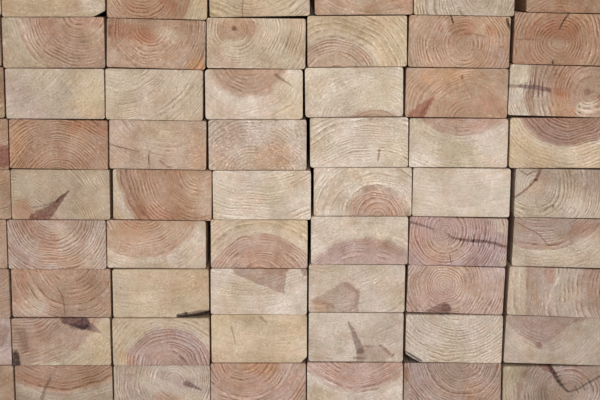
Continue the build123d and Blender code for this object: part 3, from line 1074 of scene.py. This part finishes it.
class Finish:
    """The nodes of a material or of the surroundings, made by calls and by arithmetic."""

    def __init__(self, owner):
        owner.use_nodes = True
        self.owner = owner
        self.tree = owner.node_tree
        self.tree.nodes.clear()

    def node(self, kind, settings=None, inputs=None):
        """One node: its settings first, then the values or links of its sockets."""
        node = self.tree.nodes.new(kind)
        for name, value in (settings or {}).items():
            setattr(node, name, value)
        for name, value in (inputs or {}).items():
            if isinstance(value, Number):
                value = value.socket
            if isinstance(value, bpy.types.NodeSocket):
                self.tree.links.new(value, node.inputs[name])
            elif node.inputs[name].type == "VECTOR":
                node.inputs[name].default_value = value[:3]
            else:
                node.inputs[name].default_value = value
        return node

    def number(self, kind, settings, inputs):
        return Number(self, self.node(kind, settings, inputs).outputs[0])

    def math(self, operation, *operands):
        inputs = dict(enumerate(operands))
        return self.number("ShaderNodeMath", {"operation": operation}, inputs)

    def vector(self, operation, *operands, result="Vector"):
        """Vector Math on vectors or colours."""
        inputs = dict(enumerate(operands))
        return self.node("ShaderNodeVectorMath", {"operation": operation}, inputs).outputs[result]

    def scaled(self, a, by):
        inputs = {0: a, "Scale": by}
        return self.node("ShaderNodeVectorMath", {"operation": "SCALE"}, inputs).outputs[0]

    def mix(self, factor, a, b, blend="MIX"):
        """From colour a to colour b, or to the two blended."""
        settings = {"data_type": "RGBA", "blend_type": blend}
        return self.node("ShaderNodeMix", settings, {0: factor, 6: a, 7: b}).outputs[2]

    def parts(self, vector):
        """The three numbers of a vector or a colour."""
        split = self.node("ShaderNodeSeparateXYZ", None, {0: vector})
        return [Number(self, socket) for socket in split.outputs]

    def noise(self, vector, detail=2.0, roughness=0.5):
        inputs = {"Vector": vector, "Scale": 1.0, "Detail": detail, "Roughness": roughness}
        return self.node("ShaderNodeTexNoise", None, inputs)

    def grain_noise(self, local, across, along, shift, detail=2.0):
        """Noise whose blotches are so many millimetres across and along the board."""
        scale = (1 / across, 1 / along, 1 / across)
        moved = self.vector("ADD", self.vector("MULTIPLY", local, scale), (shift, shift * 1.7, -shift))
        return self.noise(moved, detail)


class Knot(NamedTuple):
    """A branch that grew out from the pith and shows on one of the board's long faces."""

    x: float  # where its middle meets the face, from the middle of the section
    y: float
    z: float
    radius: float


def knots_of(board, largest):
    """Knots on the faces of a board that can be seen: on top, and at the stack's two sides."""
    generator = random.Random(KNOT_SEED + board.seed)
    faces = []
    if board.layer == LAYERS:
        faces.append("top")
    if board.place in (1, PLACES):
        faces.append("side")
    knots = []
    for face in faces:
        for part in range(KNOTS_ON_FACE):
            y = board.length * (FIRST_KNOT + KNOT_SPACING * part + generator.uniform(*KNOT_SCATTER))
            radius = largest * generator.uniform(*KNOT_SIZES)
            if face == "top":
                x, z = generator.uniform(-KNOT_ASIDE, KNOT_ASIDE) * board.width, board.thickness / 2
            else:
                x = math.copysign(board.width / 2, board.place - PLACES / 2)
                z = generator.uniform(-KNOT_UP, KNOT_UP) * board.thickness
                radius *= SIDE_KNOT
            knots.append(Knot(x, y, z, radius))
    return knots


def knot_field(knot, pith, x, y, z):
    """How many of its own radii a point lies from a knot's middle."""
    out_x, out_z = knot.x - pith[0], knot.z - pith[1]
    reach = math.hypot(out_x, out_z)
    ux, uz = out_x / reach, out_z / reach
    along = (x * ux + z * uz).at_least(NEAREST_PITH)
    across = x * uz - z * ux
    endways = (y - knot.y + reach * BRANCH_LEAN) - along * BRANCH_LEAN
    branch = along * (knot.radius / reach) + THINNEST_BRANCH
    return (across * across + endways * endways) ** 0.5 / branch


class Wood:
    """Softwood cut from a round log: the same rings show on the ends and along the faces."""

    def __init__(self, board, grain, colours, settings):
        self.finish = Finish(bpy.data.materials.new(f"softwood_{board.layer}_{board.place}"))
        self.board = board
        self.grain = grain
        self.colours = colours
        self.settings = settings
        self.generator = random.Random(WOOD_SEED + board.seed)
        self.shift = self.generator.uniform(0, NOISE_RANGE)
        self.set_out()
        self.grow_rings()
        body = self.shade_rings(self.shade_patches(self.heart_and_sap()))
        planed, self.fibre = self.planed_face(body)
        sawn, self.stroke, self.speck = self.sawn_end(body)
        colour = self.finish.mix(self.at_end, planed, sawn)
        colour = self.add_bark(self.add_marks(self.add_knots(colour)))
        self.surface(colour)

    def paint(self, name):
        """One of the palette's colours, as the shader takes it."""
        return (*Color(getattr(self.colours, name)).from_srgb_to_scene_linear(), 1.0)

    def tinted(self, colour, share):
        """Multiply a colour's red, green and blue."""
        return self.finish.vector("MULTIPLY", colour, share)

    def tint(self, factor, colour, share):
        """Multiply them as far as the factor says."""
        return self.finish.mix(factor, colour, (*share, 1.0), "MULTIPLY")

    def blotch(self, field, colour, patch):
        """Tint a colour where a noise is high."""
        return self.tint(field.between(patch.bare, patch.full) * patch.strength, colour, patch.tint)

    def cloud(self, across, along, offset, detail=2.0):
        """Three separate noises of one size."""
        blotches = self.finish.grain_noise(self.local, across, along, self.shift + offset, detail)
        return self.finish.parts(blotches.outputs["Color"])

    def set_out(self):
        """Millimetres from the middle of the board's facing end: across, along and up."""
        finish, board = self.finish, self.board
        corner = (board.x * MM, board.front * MM, board.z * MM)
        place = finish.node("ShaderNodeTexCoord").outputs["Object"]
        inputs = {
            "Vector": place, "Location": corner, "Rotation": (0, -board.tilt, 0), "Scale": (MM, MM, MM),
        }
        mapping = finish.node("ShaderNodeMapping", {"vector_type": "TEXTURE"}, inputs)
        self.local = mapping.outputs[0]
        self.true_x, self.true_y, self.true_z = finish.parts(self.local)
        near, deep = SAWN_DEPTH
        at_back = self.true_y.between(board.length - deep, board.length - near)
        self.at_end = self.true_y.between(deep, near) + at_back

    def grow_rings(self):
        """The rings stray from circles, and their middle drifts along the board."""
        finish, grain, settings = self.finish, self.grain, self.settings
        wander = (settings.wander, 0.0, settings.wander)
        noises = finish.grain_noise(self.local, STRAY_ACROSS, STRAY_ALONG, self.shift, 1.5)
        stray = noises.outputs["Color"]
        stray = finish.vector("MULTIPLY", finish.vector("SUBTRACT", stray, (0.5, 0.5, 0.5)), wander)
        self.bent_local = finish.vector("ADD", self.local, stray)
        x, self.y, z = finish.parts(self.bent_local)
        drift_x, drift_z = (self.generator.uniform(-PITH_DRIFT, PITH_DRIFT) for _ in range(2))
        self.from_pith = (
            x - grain.pith[0] - self.y * drift_x,
            z - grain.pith[1] - self.y * drift_z,
        )
        out_x, out_z = self.from_pith
        self.radius = (out_x * out_x + out_z * out_z) ** 0.5
        self.knots = [
            (knot, knot_field(knot, grain.pith, out_x, self.y, out_z))
            for knot in knots_of(self.board, settings.knot_size)
        ]
        bent = self.radius - self.y * (settings.taper * MM)
        for knot, field in self.knots:
            bent = bent + (field * -PUSH_FADE).math("EXPONENT") * (knot.radius * KNOT_PUSH)
        uneven = self.line_noise(self.radius * UNEVEN_EACH + self.shift)
        ripple, _, _ = self.cloud(5, 160, 23, 3)
        self.turns = bent / grain.ring + uneven * UNEVEN_YEARS + ripple * RIPPLE_YEARS
        year = self.turns.above_whole()
        self.late = year ** LATE_SLOPE * year.between(1.0, LATE_END)
        self.early = year.between(EARLY_END, EARLY_FULL) * year.between(0.0, YEAR_EDGE)

    def line_noise(self, along, detail=1.0):
        inputs = {"W": along, "Scale": 1.0, "Detail": detail}
        return self.finish.number("ShaderNodeTexNoise", {"noise_dimensions": "1D"}, inputs)

    def fan(self, sectors, rings, offset):
        """Three noises drawn out from the pith: many sectors make rays, and many rings make bands."""
        finish = self.finish
        out_x, out_z = self.from_pith
        inputs = {
            0: out_x / self.radius * sectors,
            1: self.radius * rings + (self.shift + offset),
            2: out_z / self.radius * sectors,
        }
        around = finish.node("ShaderNodeCombineXYZ", None, inputs).outputs[0]
        return finish.parts(finish.noise(around, 3, 0.6).outputs["Color"])

    def heart_and_sap(self):
        """Heartwood with a dull rim and a redder middle, in sapwood that is palest next to it."""
        finish, heart = self.finish, self.grain.heart
        ragged, patchy, dull = self.cloud(11, 240, 11, 4)
        from_edge = self.radius + (ragged - 0.5) * HEART_RAGGED
        self.in_heart = from_edge.between(heart + HEART_SOFT, heart - HEART_SOFT)
        sap = self.paint(self.grain.sapwood)
        halo = from_edge.between(heart + HALO, heart + 1)
        sap = finish.mix(halo * 0.5, sap, self.paint("pale"))
        inner = self.paint(self.grain.heartwood)
        core_reach = min(heart, WIDEST_CORE) * CORE_SHARE
        core = from_edge.between(core_reach + CORE_OUT, core_reach - CORE_IN)
        inner = self.tint(core * 0.55, inner, HEART_CORE)
        rim = from_edge.between(heart - HEART_RIM_WIDTH, heart - 1) * patchy.between(0.35, 0.65)
        inner = self.tint(rim * 0.25, inner, HEART_RIM)
        return finish.mix(self.in_heart, sap, self.blotch(dull, inner, BLEACHED))

    def shade_patches(self, body):
        """Cloudy patches over the wood, rays out from the pith and bands round it."""
        finish, tone = self.finish, self.grain.tone
        lighter, pinker, self.fading = self.cloud(19, 260, 5)
        finer, yellower, self.breaking = self.cloud(6, 120, 17, 3)
        small, greyer, _ = self.cloud(3.2, 60, 41, 3)
        broad, warm, cold = self.cloud(46, 300, 83)
        ray, _, _ = self.fan(13.0, 0.05, 0)
        band, red_band, grey_band = self.fan(3.2, 0.16, 31)
        shade = broad * 0.8 + lighter * 0.6 + finer * 0.3 + small * 0.16 + ray * 0.2 + band * 0.3 - 0.18
        by_colour = {0: shade ** RED_AS_SHADE, 1: shade, 2: shade ** BLUE_AS_SHADE}
        deeper = finish.node("ShaderNodeCombineXYZ", None, by_colour).outputs[0]
        body = finish.vector("MULTIPLY", body, deeper)
        # Painted light: the lower a layer, the cooler and less red it is painted, for the warmer light
        # on the upper layers
        depth = (LAYERS - self.board.layer) / (LAYERS - 1) * self.settings.cool_light_below
        red, green, blue = TOP_LAYER_TINT
        body = self.tinted(body, (tone * (red - depth * 0.3), tone * green, tone * blue * (1 + depth)))
        body = self.blotch(warm, body, YELLOWED)
        body = self.blotch(cold, body, COOLED)
        body = self.blotch(pinker, body, PINKED)
        body = self.blotch(yellower, body, STRAWED)
        body = self.blotch(greyer, body, GREYED)
        redness = self.in_heart * 0.6 + 0.15
        body = self.tint(red_band.between(0.5, 0.66) * redness, body, RED_BAND)
        return self.blotch(grey_band, body, GREY_BAND)

    def ring_strength(self):
        """How much the rings stand out: more in some years and patches, and in the heartwood."""
        contrast, heart = self.grain.contrast, self.grain.heart
        by_year = self.line_noise(self.turns * 0.55 + self.shift, 2.0).between(0.25, 0.7) * 0.9 + 0.4
        plain = 0.1 + 0.8 * max(0.0, contrast - 0.5)
        strength = by_year * (self.fading.between(0.4, 0.6) * (1.35 - plain) + plain)
        in_sap = 0.45 if 0 < heart < ALL_HEART else 0.7
        by_wood = self.in_heart * (1.1 - in_sap) + in_sap
        strength = strength * (self.breaking.between(0.36, 0.6) * 1.1 + 0.25) * by_wood
        return strength * contrast * (self.radius.between(3, 18) * 0.55 + 0.45)

    def shade_rings(self, body):
        """The pale early wood and the dark late wood of each year."""
        finish, strength = self.finish, self.ring_strength()
        in_sap = self.tinted(body, LATE_WOOD_IN_SAP)
        late_wood = finish.mix(self.in_heart * 0.6, in_sap, self.tinted(body, LATE_WOOD_IN_HEART))
        early_wood = self.tinted(body, EARLY_WOOD)
        body = finish.mix(self.early * strength * 1.2, body, early_wood)
        return finish.mix(self.late * strength * 1.8, body, late_wood)

    def planed_face(self, body):
        """Fine fibres along the board."""
        streaks = self.finish.grain_noise(self.local, 0.9, 70, self.shift + 9, 3)
        fibre = Number(self.finish, streaks.outputs[0])
        planed = self.finish.scaled(body, fibre * 0.3 + 0.87)
        return self.tint(0.35, planed, PLANED), fibre

    def sawn_end(self, body):
        """Torn fibres in short strokes, pale where they stand up and dark in the pits: a painted
        highlight and painted shade.
        """
        finish = self.finish
        stroke, _, _ = self.fan(max(12.0, math.hypot(*self.grain.pith) / 1.9), 0.95, 57)
        speck, spot, fuzz_patch = self.cloud(1.3, 4, 3)
        coarse, _, _ = self.cloud(9, 120, 67)
        torn = coarse.between(0.36, 0.62) * 0.8 + fuzz_patch.between(0.3, 0.7) * 0.3 + 0.35
        torn = torn * self.grain.fuzz
        # Painted light and shade: the fibres that stand up are lighter and the pits darker
        sawn = finish.scaled(body, (stroke - 0.5) * torn * 0.7 + speck * 0.43 + 0.795)
        lit_fibres = stroke.between(0.56, 0.68) * spot.between(0.4, 0.56)
        sawn = finish.mix(lit_fibres * torn * 0.7, sawn, finish.vector("ADD", sawn, FIBRE_HIGHLIGHT))
        # Painted shade between the fibres
        brown = stroke.between(0.43, 0.31) * spot.between(0.6, 0.44)
        sawn = self.tint(brown * torn * 0.4, sawn, SHADE_BETWEEN_FIBRES)
        return self.blotch(speck, sawn, PIT_SHADE), stroke, speck

    def add_knots(self, colour):
        """Brown rings of the branches, each in a halo of resin."""
        finish = self.finish
        umber = Vector(self.paint("umber"))
        late_umber = umber.lerp(Vector(self.paint("bark_and_crack_shade")), 0.4)
        for knot, field in self.knots:
            knot_rings = (field * (knot.radius / KNOT_RING)).above_whole()
            dark = finish.mix(knot_rings, late_umber, umber)
            colour = finish.mix(field.between(1.5, 0.95) * 0.45, colour, self.paint("honey"))
            colour = finish.mix(field.between(1.12, 0.98) * 0.85, colour, dark)
        return colour

    def add_marks(self, colour):
        """Stains and streaks that show on the facing end and go a little way into the board, and painted
        shade along some cracks.
        """
        if not self.grain.marks:
            return colour
        finish = self.finish
        shallow, deep = MARK_DEPTH
        near_front = self.true_y.between(deep, shallow)
        ragged, mottled, _ = self.cloud(2.6, 30, 7)
        ragged = ragged * 5.0 - 2.5
        cover = near_front * (mottled.between(0.2, 0.6) * 0.3 + 0.7)
        flat = finish.vector("MULTIPLY", self.bent_local, (1.0, 0.0, 1.0))
        for mark in self.grain.marks:
            wobble = min(0.55, 0.05 * (mark.start_reach + mark.end_reach) + 0.15)
            place = finish.vector("MULTIPLY_ADD", ragged, (wobble, 0.0, -wobble), flat)
            colour = self.tint(self.mark_mask(place, mark) * cover, colour, self.stain(mark))
        return colour

    def mark_mask(self, place, mark):
        """Up to the mark's strength on its line, and 0 away from it, with a soft edge."""
        finish = self.finish
        start = Vector((mark.start[0], 0.0, mark.start[1]))
        way = Vector((mark.end[0], 0.0, mark.end[1])) - start
        length = max(way.length, 0.01)
        way /= length
        from_start = Number(finish, finish.vector("DOT_PRODUCT", place, way, result="Value"))
        along = from_start.spread(start.dot(way), start.dot(way) + length, 0.0, length)
        nearest = finish.vector("MULTIPLY_ADD", along, way, start)
        away = Number(finish, finish.vector("DISTANCE", place, nearest, result="Value"))
        past = along.math("MULTIPLY_ADD", (mark.start_reach - mark.end_reach) / length, away)
        inside, outside = mark.start_reach - mark.softness / 2, mark.start_reach + mark.softness
        return past.spread(inside, outside, mark.strength, 0.0, "SMOOTHSTEP")

    def stain(self, mark):
        """How much of each of the wood's own colours a mark lets through, be it a stain or painted shade
        along a crack.
        """
        middle = (Vector(mark.start) + Vector(mark.end)) / 2
        inside = (middle - Vector(self.grain.pith)).length < self.grain.heart
        wood = self.paint(self.grain.heartwood if inside else self.grain.sapwood)
        return [stained / plain for stained, plain in zip(self.paint(mark.colour)[:3], wood)]

    def add_bark(self, colour):
        """The dark skin of the log on a waney corner."""
        wane = WANES.get((self.board.layer, self.board.place))
        if not wane:
            return colour
        finish = self.finish
        _, middle, growth = log_round(self.board, wane)
        out_x, out_z = self.true_x - middle.x, self.true_z - middle.y
        skin = (out_x * out_x + out_z * out_z) ** 0.5 - self.true_y * growth - LOG_RADIUS
        bark_and_crack_shade = finish.scaled(self.paint("bark_and_crack_shade"), self.stroke * 1.2 + 0.3)
        inner = self.board.width / 2 - wane.across
        near = (self.true_x * wane.side).between(inner - 2, inner + 2)
        return finish.mix(skin.between(-0.9 - wane.torn, -0.3 - wane.torn) * near * 0.95, colour, bark_and_crack_shade)

    def surface(self, colour):
        """Dull wood, rough where it is sawn and finely ribbed where it is planed."""
        finish, fuzz = self.finish, self.settings.fuzz
        sawn_height = self.stroke * fuzz + self.speck * (fuzz * 0.5) + self.late * 0.12
        planed_height = self.fibre * 0.06 + self.late * 0.04
        height = self.at_end * sawn_height + (1.0 - self.at_end) * planed_height
        bump = finish.node("ShaderNodeBump", None, {"Strength": 1.0, "Distance": MM, "Height": height})
        roughness = self.at_end * 0.25 + self.fibre * 0.15 + 0.52
        inputs = {
            "Base Color": colour,
            "Roughness": roughness,
            "Normal": bump.outputs[0],
            "Specular IOR Level": 0.35,
        }
        shader = finish.node("ShaderNodeBsdfPrincipled", None, inputs)
        finish.node("ShaderNodeOutputMaterial", None, {"Surface": shader.outputs[0]})


class STACK_OT_layer(bpy.types.Operator):
    """Make the boards of one layer in place of its plain solids"""

    bl_idname = "stack.layer"
    bl_label = "Lay a layer of boards"
    layer: IntProperty(name="Layer", description="Counted from the ground", default=1, min=1, max=LAYERS)

    def execute(self, context):
        settings = context.scene.stack_wood
        node = f"layer_{self.layer}"
        boards = boards_of(self.layer)
        if len(boards) != PLACES:
            raise RuntimeError(f"{node} has {len(boards)} boards, not {PLACES}")
        for board in boards:
            grain = GRAINS[board.layer, board.place]
            mesh = board_mesh(board, grain, settings.arris_wear)
            piece = bpy.data.objects.new(board.name, mesh)
            context.scene.collection.objects.link(piece)
            wood = Wood(board, grain, context.scene.stack_colours, settings)
            piece.data.materials.append(wood.finish.owner)
            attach(piece, BODY)
            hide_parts(node)
        return {"FINISHED"}


# The stage

FLOOR_COLOUR = (0.8, 0.8, 0.79, 1.0)
WHITE = (1.0, 1.0, 1.0, 1.0)
SENSOR_WIDTH = 36.0

# Where the lamps stand, in metres: the first from what the camera looks at, the others from the top
KEY_PLACE, KEY_SIZE = Vector((0.05, -1.9, 0.65)), 1.2
OVERHEAD_PLACE, OVERHEAD_SIZE = Vector((1.2, 0.4, 3.0)), 3.5
FAR_PLACE, FAR_SIZE = Vector((-1.6, 3.2, 1.8)), 2.5


class STACK_OT_stage(bpy.types.Operator):
    """Set the floor, the surroundings, the lamps and the camera"""

    bl_idname = "stack.stage"
    bl_label = "Set the stage"

    def execute(self, context):
        stage = context.scene.stack_stage
        self.lay_floor(context, stage)
        self.light(context, stage)
        self.place_camera(context, stage)
        context.scene.view_settings.view_transform = "Standard"
        return {"FINISHED"}

    def lay_floor(self, context, stage):
        half = stage.floor / 2
        corners = [(-half, -half, 0), (half, -half, 0), (half, half, 0), (-half, half, 0)]
        mesh = bpy.data.meshes.new("floor")
        mesh.from_pydata(corners, [], [(0, 1, 2, 3)])
        floor = bpy.data.objects.new("floor", mesh)
        context.scene.collection.objects.link(floor)
        finish = Finish(bpy.data.materials.new("pale_floor"))
        inputs = {"Base Color": FLOOR_COLOUR, "Roughness": 0.9}
        shader = finish.node("ShaderNodeBsdfPrincipled", None, inputs)
        finish.node("ShaderNodeOutputMaterial", None, {"Surface": shader.outputs[0]})
        floor.data.materials.append(finish.owner)

    def light(self, context, stage):
        finish = Finish(bpy.data.worlds.new("plain_surroundings"))
        seen = finish.node("ShaderNodeBackground", None, {"Color": WHITE, "Strength": 1.0})
        lit = finish.node("ShaderNodeBackground", None, {"Color": WHITE, "Strength": stage.sky})
        ray = finish.node("ShaderNodeLightPath")
        mixed = finish.node(
            "ShaderNodeMixShader", None,
            {0: ray.outputs["Is Camera Ray"], 1: lit.outputs[0], 2: seen.outputs[0]},
        )
        finish.node("ShaderNodeOutputWorld", None, {"Surface": mixed.outputs[0]})
        context.scene.world = finish.owner
        low, high = cad_box
        aim = Vector((stage.aim_side, low.y, high.z / 2))
        top = Vector((0, 0, high.z))
        self.lamp(context, "key", stage.key_power, aim + KEY_PLACE, aim, KEY_SIZE)
        self.lamp(context, "overhead", stage.overhead_power, top + OVERHEAD_PLACE, top, OVERHEAD_SIZE)
        self.lamp(context, "far", stage.far_power, top + FAR_PLACE, top, FAR_SIZE)

    def lamp(self, context, name, power, place, aim, size):
        data = bpy.data.lights.new(name, "AREA")
        data.energy = power
        data.size = size
        lamp = bpy.data.objects.new(name, data)
        lamp.location = place
        lamp.rotation_euler = (aim - place).to_track_quat("-Z", "Y").to_euler()
        context.scene.collection.objects.link(lamp)

    def place_camera(self, context, stage):
        data = bpy.data.cameras.new("camera")
        data.lens = stage.lens
        data.sensor_width = SENSOR_WIDTH
        camera = bpy.data.objects.new("camera", data)
        back = Vector((0, -math.cos(stage.pitch), math.sin(stage.pitch)))
        aim = Vector((stage.aim_side, cad_box[0].y, stage.aim_height))
        camera.location = aim + back * stage.distance
        camera.rotation_euler = Euler((math.radians(90) - stage.pitch, 0, 0))
        context.scene.collection.objects.link(camera)
        context.scene.camera = camera


class STACK_PT_panel(bpy.types.Panel):
    """Lists the stack's settings and its operators"""

    bl_idname = "STACK_PT_panel"
    bl_label = "Softwood stack"
    bl_space_type = "VIEW_3D"
    bl_region_type = "UI"
    bl_category = "Stack"

    def draw(self, context):
        scene = context.scene
        for group in (scene.stack_wood, scene.stack_colours, scene.stack_stage):
            box = self.layout.box()
            for name in group.__annotations__:
                box.prop(group, name)
        self.layout.operator(STACK_OT_layer.bl_idname)
        self.layout.operator(STACK_OT_stage.bl_idname)


CLASSES = (
    STACK_PG_colours,
    STACK_PG_wood,
    STACK_PG_stage,
    STACK_OT_layer,
    STACK_OT_stage,
    STACK_PT_panel,
)


def register():
    for kind in CLASSES:
        bpy.utils.register_class(kind)
    bpy.types.Scene.stack_colours = PointerProperty(type=STACK_PG_colours)
    bpy.types.Scene.stack_wood = PointerProperty(type=STACK_PG_wood)
    bpy.types.Scene.stack_stage = PointerProperty(type=STACK_PG_stage)


def unregister():
    for name in ("stack_stage", "stack_wood", "stack_colours"):
        delattr(bpy.types.Scene, name)
    for kind in reversed(CLASSES):
        bpy.utils.unregister_class(kind)


def main():
    """Dress the stack and set the stage."""
    register()
    bpy.ops.stack.stage()
    for layer in range(1, LAYERS + 1):
        bpy.ops.stack.layer(layer=layer)


if __name__ == "__main__":
    main()
